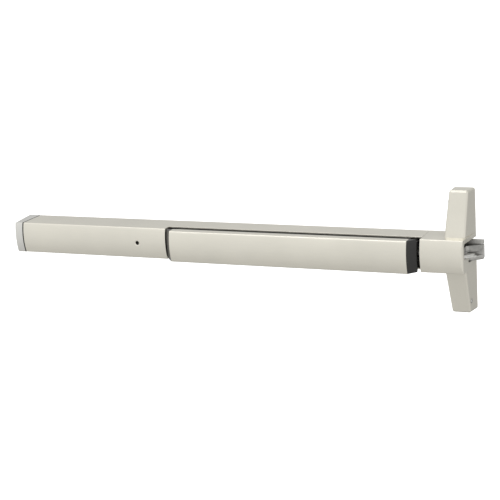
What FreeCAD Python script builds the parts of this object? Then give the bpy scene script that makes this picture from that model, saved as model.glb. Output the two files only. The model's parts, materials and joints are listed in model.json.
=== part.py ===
"""Panic exit bar: a rim exit device with a touch pad, a pivoting latch and hex-key dogging.

Millimetres. The origin is the centre of the head's screw pattern on the door's face (Y = 0).
+X runs along the bar to the latch side, +Y points into the door, +Z is up. "Depth" is the
distance from the door's face towards the user, so a point at depth d has Y = -d.
"""
import FreeCAD, Part
import math
import os

V = FreeCAD.Vector

# ---- rail, filler and pad section -------------------------------------------------------
RAIL_H = 55.0            # height of the rail and of everything that lines up with it
RAIL_DEPTH = 42.9        # door to the front edges of the rail's walls
RAIL_WALL = 2.5          # upper and lower walls of the rail
RAIL_WEB = 3.0           # the rail's back, against the door
FACE_DEPTH = 58.6        # door to the upper and lower corners of the fixed crowned face
CROWN = 4.3              # rise of the crowned face between its corners
FACE_ROUND = 1.6         # rounding of those corners
COVER_WALL = 2.2         # wall of the filler cover and of the end cap
SEAT_GAP = 0.3           # filler leg to rail wall
SLIDE_GAP = 0.5          # pad carrier to rail wall

# ---- lengths along the bar ---------------------------------------------------------------
HEAD_LEFT = -58.8        # left edge of the head cover's centre section
RAIL_END_GAP = 0.5       # rail end to head cover
PAD_HEAD_GAP = 4.7       # pad's right cap to head cover
PAD_CAP_W = 13.0         # ramped black cap at each end of the pad
PAD_L = 425.4            # metal skin of the pad
PAD_FILLER_GAP = 2.2     # pad's left cap to filler cover
FILLER_L = 290.8         # filler cover
KEY_FROM_FILLER = 55.8   # key hole from the filler's pad end
GASKET_T = 2.2
END_CAP_L = 24.1         # end cap along the door
END_CAP_TAPER = 8.2      # how much shorter the end cap is at its front
END_CAP_ROUND = 4.0
CAP_SCREW_DEPTH = 30.0   # depth of the screw in the cap's end

# ---- pad ---------------------------------------------------------------------------------
PAD_TRAVEL = 15.0
PAD_PROUD = 15.15        # pad's face in front of the fixed face at rest
PAD_BACK_GAP = 1.3       # pad skin to rail wall when the pad is fully pressed
SKIN_FRONT = 2.2         # pad skin at the face
CARRIER_T = 2.2          # pad carrier's wall
CARRIER_BACK = 30.0      # depth of the carrier's back edges at rest
CARRIER_LAND = 3.75      # corner of the pad's face to the carrier's front
CAP_STEP = 0.2           # cap stands this much inside the skin's outline
CAP_PLUG_L = 12.0
CAP_PLUG_FIT = 0.2

# ---- bell cranks and draw bar ------------------------------------------------------------
LEFT_CRANK_FROM_PAD = 71.9
RIGHT_CRANK_FROM_PAD = 63.5
PIVOT_DEPTH = 20.0       # depth of the cranks' pivots
CRANK_HALF_SWING = 22.0  # degrees each side of square
DRAW_ARM = 15.0          # crank pivot to draw-bar pin
PIVOT_R = 3.0
PIN_R = 2.5
RUNNING = 0.05           # radial clearance of a running fit
PIN_PLAY = 0.35          # radial play of a pin in its slot
CRANK_T = 3.0            # thickness of one crank plate
CRANK_INNER = 3.0        # mid-height to the inner face of a crank plate
CRANK_TIP_R = 4.2
CRANK_HUB_R = 7.0
LUG_INNER = 8.0          # mid-height to the inner face of a pad lug
LUG_T = 3.0
LUG_HALF_W = 6.5
EAR_INNER = 13.5         # mid-height to the inner face of a bracket ear
BRACKET_T = 2.5
EAR_HALF_W = 7.0
BRACKET_FOOT = 24.0      # bracket foot to the right of the pivot
BUMPER_R = 5.0
BUMPER_GAP = 0.4         # lug to bumper when the pad is fully pressed
BAR_W = 13.0
BAR_T = 4.5
LINK_T = 3.0             # flat link from the draw bar to the latch tail
LINK_END_MARGIN = 2.65

# ---- return spring -----------------------------------------------------------------------
ROD_R = 2.25
ROD_DEPTH = 13.0
SPRING_R = 4.6           # mean radius of the coil
SPRING_WIRE_R = 0.7
SPRING_L = 67.5
SPRING_TURNS = 12
COLLAR_R = 6.5
COLLAR_T = 3.0
TOOTH_L = 4.0
UPRIGHT_T = 2.5
UPRIGHT_SPAN = 85.0      # between the inner faces of the spring bracket's uprights
SPRING_FOOT = 12.0       # foot outside each upright

# ---- dogging -----------------------------------------------------------------------------
KEY_HOLE_R = 3.4
KEY_DISH_R = 6.0
KEY_DISH_DEPTH = 1.0
SPINDLE_R = 5.0
SPINDLE_FRONT = 57.0     # depth of the spindle's front end
JOURNAL_R = 3.0
HEX_AF = 4.0             # hex socket across flats
HEX_DEPTH = 9.0
HOOK_Y = 22.0            # depth of the hook's door side
HOOK_T = 4.0
HOOK_HUB_R = 8.0
HOOK_ARM_IN = 5.5        # offset of the hook's arm from the spindle's axis
HOOK_ARM_OUT = 8.5
HOOK_REACH = 12.7        # spindle's axis to the catching face of the hook
HOOK_NOSE = 3.5
HOOK_OVERLAP = 2.0       # how far the nose reaches past the bar's mid-height
HOOK_PLAY = 0.3          # hook to bar tooth when dogged
DOG_BAR_CLEAR = 6.8      # spindle's axis to the bar's end when pressed
DOG_TOOTH_L = 3.0
DOG_TOOTH_DEPTH = 21.5   # depth of the tooth's door side
DOG_HALF_L = 21.0
DOG_WALL_IN = 19.3
DOG_WALL_T = 2.0
DOG_FRONT = 48.0

# ---- head --------------------------------------------------------------------------------
HEAD_H = 203.2
HEAD_RIGHT = 18.0        # right edge of the head cover at the door
HEAD_WALL = 2.5
WING_TIP_LEFT = -17.5    # left edge of a wing at its tip
WING_TIP_DEPTH = 26.8
WING_ROOT_DEPTH = 41.8
WING_ROOT_Z = 28.75
WING_LEFT_FLARE = 5.9    # how much further left a wing reaches at its root
WING_DRAFT = 0.18        # slope of a wing's right side
WING_ROUND = 4.0
WING_OVERLAP = 8.0       # how far a wing runs into the centre section
CENTRE_FLAT_X = 5.9      # right end of the crowned face
CENTRE_SIDE_X = 12.1     # start of the drafted side
CENTRE_SIDE_DEPTH = 56.0
LATCH_DOOR_TOP = 20.6    # side opening for the latch
LATCH_DOOR_BOTTOM = -14.3
LATCH_DOOR_STEP = 36.0   # depth where the opening's lower edge steps up
LATCH_DOOR_SILL = -4.6   # lower edge in front of the step, under the trigger
LATCH_DOOR_DEPTH = 54.0
LATCH_DOOR_ROUND = 3.0
CHASSIS_T = 3.0
CHASSIS_CLEAR = 0.5      # chassis edge to the cover's inner faces
CHASSIS_NOTCH_X = 4.5
TONGUE_HALF_H = 19.0
TONGUE_REACH = 40.7      # tongue beyond the rail's end
HEAD_SCREW_DX = 16.0
HEAD_SCREW_DZ = 120.0
END_SCREW_DZ = 24.0
MOUNT_HOLE_R = 2.75
COVER_SCREW_Z = 82.0
COVER_SCREW_DEPTH = 22.0

# ---- latch -------------------------------------------------------------------------------
LATCH_X = 3.0            # latch pivot
LATCH_DEPTH = 48.0
TAIL_ARM = 28.0
LATCH_TIP_X = 34.6
LATCH_BACK = 11.5        # depth of the latch's flat keeper face
LATCH_TOP = 19.4
GROOVE_TOP = 13.9
GROOVE_BOTTOM = 12.0
SLOT_TOP = 2.4
SLOT_BOTTOM = -5.2
LATCH_BOTTOM = -13.5
LATCH_WEB = 5.5          # thickness of the wall behind the slot
UPPER_TIER_T = 7.5       # top tier, from its keeper face to its front
RAMP_START = (12.5, 30.5)    # nose seen from above: where the ramp leaves the body
RAMP_MID = (24.3, 24.4)
RAMP_END_DEPTH = 16.0
LATCH_HUB_R = 7.0
LATCH_TAIL_R = 6.0
GROOVE_IN = 1.5
NOSE_ROUND = 4.0         # eased lower corner of the nose
TRIGGER_GAP = 0.4
TRIGGER_HUB_R = 6.5
TRIGGER_TIP_X = 27.5
TRIGGER_T = 5.0          # height of the trigger's finger
CHEEK_T = 2.5
CHEEK_TOP = 21.5         # inner face of the upper cheek
CHEEK_BOTTOM = -19.0     # inner face of the lower cheek
CHEEK_GAP = 0.3
SLEEVE_R = 4.2
TORSION_R = 5.6
TORSION_WIRE_R = 0.5
TORSION_TURNS = 3

# ---- fasteners ---------------------------------------------------------------------------
SCREW_R = 2.0
SCREW_HEAD_R = 3.5
SCREW_HEAD_H = 2.2
SCREW_BITE = 2.5         # how deep a screw goes into the rail's web or the chassis
SCREW_CLEAR = 0.15
RIVET_R = 1.5
RIVET_HEAD_R = 2.6
RIVET_HEAD_H = 0.8

# ---- worked out from the values above ----------------------------------------------------
HALF_H = RAIL_H / 2
CROWN_R = (HALF_H ** 2 + CROWN ** 2) / (2 * CROWN)
RAIL_INNER = HALF_H - RAIL_WALL
CARRIER_HALF = RAIL_INNER - SLIDE_GAP
CARRIER_INNER = CARRIER_HALF - CARRIER_T
PAD_RIGHT = HEAD_LEFT - PAD_HEAD_GAP - PAD_CAP_W
PAD_LEFT = PAD_RIGHT - PAD_L
FILLER_RIGHT = PAD_LEFT - PAD_CAP_W - PAD_FILLER_GAP
RAIL_LEFT = FILLER_RIGHT - FILLER_L
RAIL_RIGHT = HEAD_LEFT - RAIL_END_GAP
KEY_X = FILLER_RIGHT - KEY_FROM_FILLER
CAP_LEFT = RAIL_LEFT - GASKET_T - END_CAP_L
PAD_FACE = FACE_DEPTH + PAD_PROUD
PAD_BACK = RAIL_DEPTH + PAD_TRAVEL + PAD_BACK_GAP
CARRIER_FRONT = PAD_FACE - CARRIER_LAND
SWING = math.radians(CRANK_HALF_SWING)
PAD_ARM = PAD_TRAVEL / (2 * math.sin(SWING))
DRAW_TRAVEL = 2 * DRAW_ARM * math.sin(SWING)
LEFT_CRANK_X = PAD_LEFT + LEFT_CRANK_FROM_PAD
RIGHT_CRANK_X = PAD_RIGHT - RIGHT_CRANK_FROM_PAD
CRANK_XS = {"left": LEFT_CRANK_X, "right": RIGHT_CRANK_X}
LUG_OFFSET = -PAD_ARM * (1 + math.cos(SWING)) / 2
BAR_DEPTH = PIVOT_DEPTH + DRAW_ARM * (1 + math.cos(SWING)) / 2
BAR_BACK = BAR_DEPTH - BAR_W / 2
BAR_FRONT = BAR_DEPTH + BAR_W / 2
BAR_LEFT = KEY_X + DOG_BAR_CLEAR + DRAW_TRAVEL
BAR_RIGHT = HEAD_LEFT + 24.8
BRACKET_BASE = RAIL_WEB + BRACKET_T
SPRING_MID_X = (LEFT_CRANK_X + RIGHT_CRANK_X) / 2
SPRING_LEFT = SPRING_MID_X - UPRIGHT_SPAN / 2
SPRING_RIGHT = SPRING_MID_X + UPRIGHT_SPAN / 2
COLLAR_X = SPRING_LEFT + SPRING_L
TAIL_DEPTH = LATCH_DEPTH - TAIL_ARM
LINK_BOTTOM = BAR_T / 2
LINK_TOP = LINK_BOTTOM + LINK_T
TONGUE_TOP = RAIL_WEB + CHASSIS_T
TONGUE_LEFT = RAIL_RIGHT - TONGUE_REACH
END_SCREW_X = CAP_LEFT + 14.2
WING_SLOPE = (WING_ROOT_DEPTH - WING_TIP_DEPTH) / (HEAD_H / 2 - WING_ROOT_Z)
WING_FLARE = WING_LEFT_FLARE / (HEAD_H / 2 - WING_ROOT_Z)
X_AXIS = V(1, 0, 0)
Y_AXIS = V(0, 1, 0)
Z_AXIS = V(0, 0, 1)


# ---- plain shapes ------------------------------------------------------------------------
def box(x0, x1, depth0, depth1, z0, z1):
    """A box between two X values, two depths and two heights."""
    size = V(x1 - x0, depth1 - depth0, z1 - z0)
    return Part.makeBox(size.x, size.y, size.z, V(x0, -depth1, z0))


def upright(x, depth, radius, z0, z1):
    """A round bar along Z."""
    return Part.makeCylinder(radius, z1 - z0, V(x, -depth, z0), Z_AXIS)


def across(x, z, radius, depth0, depth1):
    """A round bar along Y between two depths."""
    return Part.makeCylinder(radius, depth1 - depth0, V(x, -depth1, z), Y_AXIS)


def along(depth, z, radius, x0, x1):
    """A round bar along X."""
    return Part.makeCylinder(radius, x1 - x0, V(x0, -depth, z), X_AXIS)


def fuse(first, *others):
    """Join solids and merge the faces that continue each other."""
    return first.fuse(list(others)).removeSplitter()


def plan_wire(steps, z):
    """An outline seen from above. A step is (x, depth), or an arc ((mid), (end))."""
    edges = []
    start = here = V(steps[0][0], -steps[0][1], z)
    for step in steps[1:]:
        if isinstance(step[0], tuple):
            mid = V(step[0][0], -step[0][1], z)
            end = V(step[1][0], -step[1][1], z)
            edges.append(Part.Arc(here, mid, end).toShape())
        else:
            end = V(step[0], -step[1], z)
            edges.append(Part.makeLine(here, end))
        here = end
    edges.append(Part.makeLine(here, start))
    return Part.Wire(edges)


def plan_prism(steps, z0, z1):
    """Extrude an outline seen from above."""
    return Part.Face(plan_wire(steps, z0)).extrude(V(0, 0, z1 - z0))


def stadium(start, end, radius, z0, z1):
    """A link with round ends between two (x, depth) points."""
    a = V(start[0], -start[1], z0)
    b = V(end[0], -end[1], z0)
    along_link = (b - a).normalize()
    side = V(-along_link.y, along_link.x, 0) * radius
    ahead = along_link * radius
    edges = [
        Part.makeLine(a + side, b + side),
        Part.Arc(b + side, b + ahead, b - side).toShape(),
        Part.makeLine(b - side, a - side),
        Part.Arc(a - side, a - ahead, a + side).toShape(),
    ]
    return Part.Face(Part.Wire(edges)).extrude(V(0, 0, z1 - z0))


def crown_depth(z, corner_depth, inset=0.0):
    """Depth of the crowned face at height z, or of its inner side at an inset."""
    centre = corner_depth + CROWN - CROWN_R
    return centre + math.sqrt((CROWN_R - inset) ** 2 - z * z)


def crowned_face(x, half, corner_depth, back, inset=0.0):
    """A section across the bar: flat top and bottom, crowned front, straight back."""
    front = crown_depth(half, corner_depth, inset)
    apex = crown_depth(0, corner_depth, inset)
    low, high = V(x, -front, -half), V(x, -front, half)
    edges = [
        Part.makeLine(V(x, -back, half), high),
        Part.Arc(high, V(x, -apex, 0), low).toShape(),
        Part.makeLine(low, V(x, -back, -half)),
        Part.makeLine(V(x, -back, -half), V(x, -back, half)),
    ]
    return Part.Face(Part.Wire(edges))


def crowned_bar(x0, x1, half, corner_depth, back, inset=0.0):
    """The section above, run along X."""
    return crowned_face(x0, half, corner_depth, back, inset).extrude(V(x1 - x0, 0, 0))


def is_along_x(edge):
    """True for a straight edge that runs along the bar."""
    a, b = edge.Vertexes[0].Point, edge.Vertexes[-1].Point
    return abs((b - a).x) > 1 and abs((b - a).y) < 1e-6 and abs((b - a).z) < 1e-6


def round_face_corners(solid, corner_depth):
    """Round the two long corners of a crowned face."""
    picked = [e for e in solid.Edges
              if is_along_x(e) and abs(-e.Vertexes[0].Point.y - corner_depth) < 1e-3]
    return solid.makeFillet(FACE_ROUND, picked)


def coil(centre, axis, radius, wire_r, length, turns):
    """A coil spring: a round wire along a helix."""
    pitch = (length - 2 * wire_r) / turns
    helix = Part.makeHelix(pitch, pitch * turns, radius)
    ring = Part.Wire(Part.makeCircle(wire_r, V(radius, 0, 0), Y_AXIS))
    spring = Part.Wire(helix).makePipeShell([ring], True, True)
    spring.translate(V(0, 0, wire_r))
    turn = FreeCAD.Rotation(Z_AXIS, axis)
    spring.Placement = FreeCAD.Placement(centre, turn).multiply(spring.Placement)
    return spring


# ---- fasteners ---------------------------------------------------------------------------
def screw(seat, direction, length):
    """A pan-head screw: seat is under the head, direction points into the work."""
    shank = Part.makeCylinder(SCREW_R, length, seat, direction)
    head = Part.makeCylinder(SCREW_HEAD_R, SCREW_HEAD_H, seat, direction * -1)
    rim = [e for e in head.Edges
           if (e.CenterOfMass - seat).dot(direction) < -SCREW_HEAD_H * 0.9]
    head = head.makeFillet(SCREW_HEAD_H * 0.4, rim)
    top = seat - direction * SCREW_HEAD_H
    socket = Part.makeCylinder(SCREW_R * 0.7, SCREW_HEAD_H * 0.6, top, direction)
    return fuse(shank, head).cut(socket)


def rail_screw_seats():
    """(x, z, depth of the seat) of every screw that goes into the rail's web."""
    seats = []
    for x in CRANK_XS.values():
        seats += [(x + BRACKET_FOOT - 6, z, BRACKET_BASE) for z in (-10, 10)]
    foot = UPRIGHT_T + SPRING_FOOT / 2
    seats += [(SPRING_LEFT - foot, 0, BRACKET_BASE), (SPRING_RIGHT + foot, 0, BRACKET_BASE)]
    seats += [(KEY_X - DOG_HALF_L + 5, z, RAIL_WEB + DOG_WALL_T) for z in (-12, 12)]
    seats += [(TONGUE_LEFT + 15, z, TONGUE_TOP) for z in (-10, 10)]
    seats += [(RAIL_LEFT + 18, 0, TONGUE_TOP)]
    return seats


def rail_screws():
    """All the screws that hold brackets to the rail's web."""
    return Part.makeCompound([
        screw(V(x, -seat, z), Y_AXIS, seat - RAIL_WEB + SCREW_BITE)
        for x, z, seat in rail_screw_seats()])


def clear_rail_screws(solid):
    """Clearance holes in a bracket for the screws that pass through it."""
    holes = [across(x, z, SCREW_R + SCREW_CLEAR, RAIL_WEB - 1, seat + 1)
             for x, z, seat in rail_screw_seats()]
    return solid.cut(holes)


# ---- rail, filler and end cap --------------------------------------------------------------
def base_rail():
    """The U-shaped extrusion that everything is fixed to, with tapped blind holes."""
    outer = box(RAIL_LEFT, RAIL_RIGHT, 0, RAIL_DEPTH, -HALF_H, HALF_H)
    inner = box(RAIL_LEFT, RAIL_RIGHT, RAIL_WEB, RAIL_DEPTH, -RAIL_INNER, RAIL_INNER)
    holes = [across(x, z, SCREW_R, RAIL_WEB - SCREW_BITE, RAIL_WEB)
             for x, z, _seat in rail_screw_seats()]
    return outer.cut([inner] + holes)


def filler_cover():
    """The fixed cover on the hinge side: crowned face, legs inside the rail, dished key hole."""
    leg_out = RAIL_INNER - SEAT_GAP
    leg_in = leg_out - COVER_WALL
    leg_back = RAIL_DEPTH / 2
    ledge = RAIL_DEPTH + COVER_WALL
    face = crowned_bar(RAIL_LEFT, FILLER_RIGHT, HALF_H, FACE_DEPTH, RAIL_DEPTH)
    face = round_face_corners(face, FACE_DEPTH)
    legs = box(RAIL_LEFT, FILLER_RIGHT, leg_back, RAIL_DEPTH, -leg_out, leg_out)
    room = crowned_bar(RAIL_LEFT, FILLER_RIGHT, HALF_H - COVER_WALL, FACE_DEPTH, ledge, COVER_WALL)
    gap = box(RAIL_LEFT, FILLER_RIGHT, leg_back, ledge, -leg_in, leg_in)
    apex = crown_depth(0, FACE_DEPTH)
    hole = across(KEY_X, 0, KEY_HOLE_R, ledge, apex)
    flare = KEY_DISH_R - KEY_HOLE_R
    dish = Part.makeCone(KEY_HOLE_R, KEY_HOLE_R + 2 * flare, 2 * KEY_DISH_DEPTH,
                         V(KEY_X, -apex + KEY_DISH_DEPTH, 0), V(0, -1, 0))
    return fuse(face, legs).cut([room, gap, hole.fuse(dish)])


def end_gasket():
    """The thin gasket between the rail's end and the end cap."""
    left = RAIL_LEFT - GASKET_T
    outer = crowned_bar(left, RAIL_LEFT, HALF_H - CAP_STEP, FACE_DEPTH, 0, CAP_STEP)
    inner = crowned_bar(left, RAIL_LEFT, HALF_H - 4, FACE_DEPTH, 0, 4)
    return outer.cut(inner)


def end_cap_block(inset):
    """The wedge of the end cap, or its inside at an inset."""
    right = RAIL_LEFT - GASKET_T
    back = 0
    block = crowned_bar(CAP_LEFT, right, HALF_H - inset, FACE_DEPTH, back, inset)
    left = CAP_LEFT + inset
    front_left = CAP_LEFT + END_CAP_TAPER + inset
    reach = crown_depth(0, FACE_DEPTH) + 1
    wedge = plan_prism([(left, 0), (right, 0), (right, reach), (front_left, reach)],
                       -HALF_H, HALF_H)
    return block.common(wedge)


def end_cap():
    """Hollow end cap with its left edges rounded and a sunk screw in its end."""
    block = end_cap_block(0)
    rounded = [e for e in block.Edges if e.CenterOfMass.x < RAIL_LEFT - GASKET_T - END_CAP_L / 3
               and not is_along_x(e) and e.CenterOfMass.y < -1]
    block = block.makeFillet(END_CAP_ROUND, rounded)
    depth = CAP_SCREW_DEPTH
    seat_x = cap_screw_seat_x()
    sink = along(depth, 0, SCREW_HEAD_R + SEAT_GAP, CAP_LEFT - 1, seat_x)
    hole = along(depth, 0, SCREW_R + SCREW_CLEAR, seat_x, seat_x + 4)
    return block.cut([end_cap_block(COVER_WALL), sink, hole])


def cap_screw_seat_x():
    """X of the end screw's seat in the end cap's slanted wall."""
    reach = crown_depth(0, FACE_DEPTH) + 1
    face = CAP_LEFT + END_CAP_TAPER * CAP_SCREW_DEPTH / reach
    return face + COVER_WALL - 1.2


def end_bracket():
    """Bracket screwed to the door under the end cap, with a tongue into the rail."""
    right = RAIL_LEFT - GASKET_T - CHASSIS_CLEAR
    left = CAP_LEFT + COVER_WALL + 1.5
    half = TONGUE_HALF_H
    foot = box(left, right, 0, RAIL_WEB, -half, half)
    tongue = box(left + 3, RAIL_LEFT + 28, RAIL_WEB, TONGUE_TOP, -half, half)
    post_x = cap_screw_seat_x() + 3
    post = box(post_x, post_x + 3, RAIL_WEB, CAP_SCREW_DEPTH + 8, -6, 6)
    holes = [across(END_SCREW_X, z, MOUNT_HOLE_R, -1, TONGUE_TOP + 1)
             for z in (-END_SCREW_DZ / 2, END_SCREW_DZ / 2)]
    thread = along(CAP_SCREW_DEPTH, 0, SCREW_R, post_x - 1, post_x + 4)
    return clear_rail_screws(fuse(foot, tongue, post).cut(holes + [thread]))


def end_cap_screw():
    """The screw that holds the end cap to its bracket."""
    return screw(V(cap_screw_seat_x(), -CAP_SCREW_DEPTH, 0), X_AXIS, 6.0)


# ---- pad -----------------------------------------------------------------------------------
def pad_shell():
    """The metal skin of the touch pad."""
    skin = crowned_bar(PAD_LEFT, PAD_RIGHT, HALF_H, PAD_FACE, PAD_BACK)
    skin = round_face_corners(skin, PAD_FACE)
    room = crowned_bar(PAD_LEFT, PAD_RIGHT, CARRIER_HALF, PAD_FACE, PAD_BACK, SKIN_FRONT)
    return skin.cut(room)


def pad_carrier():
    """The black channel inside the skin that slides between the rail's walls."""
    left, right = PAD_LEFT + 1, PAD_RIGHT - 1
    outer = box(left, right, CARRIER_BACK, CARRIER_FRONT, -CARRIER_HALF, CARRIER_HALF)
    inner = box(left, right, CARRIER_BACK, CARRIER_FRONT - CARRIER_T, -CARRIER_INNER, CARRIER_INNER)
    return outer.cut(inner)


def pad_cap(side):
    """A ramped end cap of the pad, with a plug inside the carrier."""
    section = crowned_face(PAD_RIGHT, HALF_H - CAP_STEP, PAD_FACE, RAIL_DEPTH, CAP_STEP)
    ramp = section.extrude(V(PAD_CAP_W, PAD_PROUD, 0))
    front = box(PAD_RIGHT, PAD_RIGHT + PAD_CAP_W, PAD_BACK, PAD_FACE + 2 * CROWN, -RAIL_H, RAIL_H)
    half = CARRIER_INNER - CAP_PLUG_FIT
    tip = PAD_RIGHT + PAD_CAP_W - 1
    plug_front = CARRIER_FRONT - CARRIER_T
    plug = box(PAD_RIGHT - CAP_PLUG_L, PAD_RIGHT, PAD_BACK, plug_front, -half, half)
    tabs = [box(PAD_RIGHT, tip, PAD_BACK - 13, PAD_BACK, z0, z1)
            for z0, z1 in ((8, half), (-half, -8))]
    cap = fuse(ramp.common(front), plug, *tabs)
    if side == "left":
        cap = cap.mirror(V((PAD_LEFT + PAD_RIGHT) / 2, 0, 0), X_AXIS)
    return cap


def lug_x(crank_x):
    """Middle of the slot that a crank's pad pin runs in."""
    return crank_x + LUG_OFFSET


def pad_link(crank_x):
    """Two lugs on a plate inside the carrier; the crank's pad pins run in their slots."""
    x = lug_x(crank_x)
    front = CARRIER_FRONT - CARRIER_T
    pin_depth = PIVOT_DEPTH + PAD_TRAVEL / 2
    back = pin_depth - PIN_R - PIN_PLAY - 1.65
    outer = LUG_INNER + LUG_T
    plate = box(x - LUG_HALF_W - 6, x + LUG_HALF_W + 6, front - BRACKET_T, front, -outer, outer)
    lugs = [box(x - LUG_HALF_W, x + LUG_HALF_W, back, front - BRACKET_T, z0, z1)
            for z0, z1 in ((LUG_INNER, outer), (-outer, -LUG_INNER))]
    half_run = PAD_ARM * (1 - math.cos(SWING)) / 2
    slot = stadium((x - half_run, pin_depth), (x + half_run, pin_depth),
                   PIN_R + PIN_PLAY, -outer - 1, outer + 1)
    return fuse(plate, *lugs).cut(slot)


# ---- bell cranks ---------------------------------------------------------------------------
def pad_pin_at(crank_x):
    """(x, depth) of the crank's pad pin at rest."""
    return (crank_x - PAD_ARM * math.cos(SWING), PIVOT_DEPTH + PAD_ARM * math.sin(SWING))


def draw_pin_at(crank_x):
    """(x, depth) of the crank's draw-bar pin at rest."""
    return (crank_x + DRAW_ARM * math.sin(SWING), PIVOT_DEPTH + DRAW_ARM * math.cos(SWING))


def crank_bracket(crank_x):
    """U bracket on the rail's web that carries a crank's pivot."""
    outer = EAR_INNER + BRACKET_T
    foot = box(crank_x - EAR_HALF_W - 3, crank_x + BRACKET_FOOT, RAIL_WEB, BRACKET_BASE, -outer, outer)
    ears = []
    for z0, z1 in ((EAR_INNER, outer), (-outer, -EAR_INNER)):
        ears.append(box(crank_x - EAR_HALF_W, crank_x + EAR_HALF_W, BRACKET_BASE, PIVOT_DEPTH, z0, z1))
        ears.append(upright(crank_x, PIVOT_DEPTH, EAR_HALF_W, z0, z1))
    pivot = upright(crank_x, PIVOT_DEPTH, PIVOT_R, -outer - 1, outer + 1)
    return clear_rail_screws(fuse(foot, *ears).cut(pivot))


def crank(crank_x):
    """Two plates on a hub: one arm to the pad, the other to the draw bar."""
    top = CRANK_INNER + CRANK_T
    pivot = (crank_x, PIVOT_DEPTH)
    pins = (pad_pin_at(crank_x), draw_pin_at(crank_x))
    body = upright(crank_x, PIVOT_DEPTH, CRANK_HUB_R, -top, top)
    waist = upright(crank_x, PIVOT_DEPTH, CRANK_HUB_R + 1, -CRANK_INNER, CRANK_INNER)
    waist = waist.cut(upright(crank_x, PIVOT_DEPTH, PIVOT_R + PIN_R, -top, top))
    arms = []
    for z0, z1 in ((CRANK_INNER, top), (-top, -CRANK_INNER)):
        arms += [stadium(pivot, pin, CRANK_TIP_R, z0, z1) for pin in pins]
    holes = [upright(x, depth, PIN_R, -top - 1, top + 1) for x, depth in pins]
    bore = upright(crank_x, PIVOT_DEPTH, PIVOT_R + RUNNING, -top - 1, top + 1)
    return fuse(body.cut(waist), *arms).cut(holes + [bore])


def crank_pins(crank_x):
    """Two stub pins for the lugs and one pin across for the draw bar."""
    x, depth = pad_pin_at(crank_x)
    reach = LUG_INNER + LUG_T + 1
    stubs = [upright(x, depth, PIN_R, z0, z1) for z0, z1 in ((CRANK_INNER, reach), (-reach, -CRANK_INNER))]
    x, depth = draw_pin_at(crank_x)
    top = CRANK_INNER + CRANK_T
    return Part.makeCompound(stubs + [upright(x, depth, PIN_R, -top, top)])


def crank_pivot(crank_x):
    """The pin that a crank turns on, with a head at each end."""
    outer = EAR_INNER + BRACKET_T
    pin = upright(crank_x, PIVOT_DEPTH, PIVOT_R, -outer, outer)
    heads = [upright(crank_x, PIVOT_DEPTH, PIVOT_R + 1.5, z, z + 1.5) for z in (outer, -outer - 1.5)]
    return fuse(pin, *heads)


def bumpers():
    """Rubber stops on the rail's web, one under each pad lug."""
    back = PIVOT_DEPTH + PAD_TRAVEL / 2 - PIN_R - PIN_PLAY - 1.65 - PAD_TRAVEL
    top = back - BUMPER_GAP
    z = LUG_INNER + LUG_T / 2
    return Part.makeCompound([across(lug_x(x), side * z, BUMPER_R, RAIL_WEB, top)
                              for x in CRANK_XS.values() for side in (-1, 1)])


# ---- draw bar ------------------------------------------------------------------------------
def draw_bar():
    """Flat bar between the cranks, with a slot for each crank's pin and the link's rivet holes."""
    half = BAR_T / 2
    bar = box(BAR_LEFT, BAR_RIGHT, BAR_BACK, BAR_FRONT, -half, half)
    half_run = DRAW_ARM * (1 - math.cos(SWING)) / 2
    slots = []
    for crank_x in CRANK_XS.values():
        x = draw_pin_at(crank_x)[0]
        slots.append(stadium((x, BAR_DEPTH - half_run), (x, BAR_DEPTH + half_run),
                             PIN_R + PIN_PLAY, -half - 1, half + 1))
    rivets = [upright(x, BAR_DEPTH, RIVET_R, -half - 1, half + 1) for x in rivet_xs()]
    return bar.cut(slots + rivets)


def draw_teeth():
    """Two blocks welded on the bar's door side: the spring pushes one, the dogging hook holds the other."""
    half = BAR_T / 2
    spring_x = COLLAR_X + COLLAR_T
    spring_back = ROD_DEPTH + ROD_R + 1.25
    spring_tooth = box(spring_x, spring_x + TOOTH_L, spring_back, BAR_BACK, -half, half)
    dog_x = KEY_X + HOOK_REACH - HOOK_PLAY - DOG_TOOTH_L + DRAW_TRAVEL
    dog_tooth = box(dog_x, dog_x + DOG_TOOTH_L, DOG_TOOTH_DEPTH, BAR_BACK, -half, half)
    return Part.makeCompound([spring_tooth, dog_tooth])


def rivet_xs():
    """X of the two rivets that join the link to the draw bar."""
    return (HEAD_LEFT + 5, HEAD_LEFT + 15)


def latch_link():
    """Flat link riveted on the draw bar; its slot pulls the latch's tail pin."""
    left = HEAD_LEFT - 3
    end = LATCH_X + PIN_R + PIN_PLAY + LINK_END_MARGIN
    near, far = TAIL_DEPTH - 6, TAIL_DEPTH + 8
    strap = plan_prism([
        (left, BAR_FRONT - 1), (BAR_RIGHT - 2, BAR_FRONT - 1), (-20, far), (end, far),
        (end, near), (-26, near), (BAR_RIGHT - 12, BAR_BACK + 2), (left, BAR_BACK + 2)],
        LINK_BOTTOM, LINK_TOP)
    swing = math.asin(DRAW_TRAVEL / TAIL_ARM)
    drop = TAIL_ARM * (1 - math.cos(swing))
    slot = stadium((LATCH_X, TAIL_DEPTH), (LATCH_X, TAIL_DEPTH + drop),
                   PIN_R + PIN_PLAY, LINK_BOTTOM - 1, LINK_TOP + 1)
    rivets = [upright(x, BAR_DEPTH, RIVET_R, LINK_BOTTOM - 1, LINK_TOP + 1) for x in rivet_xs()]
    return strap.cut([slot] + rivets)


def link_rivets():
    """The rivets between the draw bar and the link."""
    low, high = -BAR_T / 2, LINK_TOP
    rivets = []
    for x in rivet_xs():
        shank = upright(x, BAR_DEPTH, RIVET_R, low, high)
        heads = [upright(x, BAR_DEPTH, RIVET_HEAD_R, z, z + RIVET_HEAD_H)
                 for z in (high, low - RIVET_HEAD_H)]
        rivets.append(fuse(shank, *heads))
    return Part.makeCompound(rivets)


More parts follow.
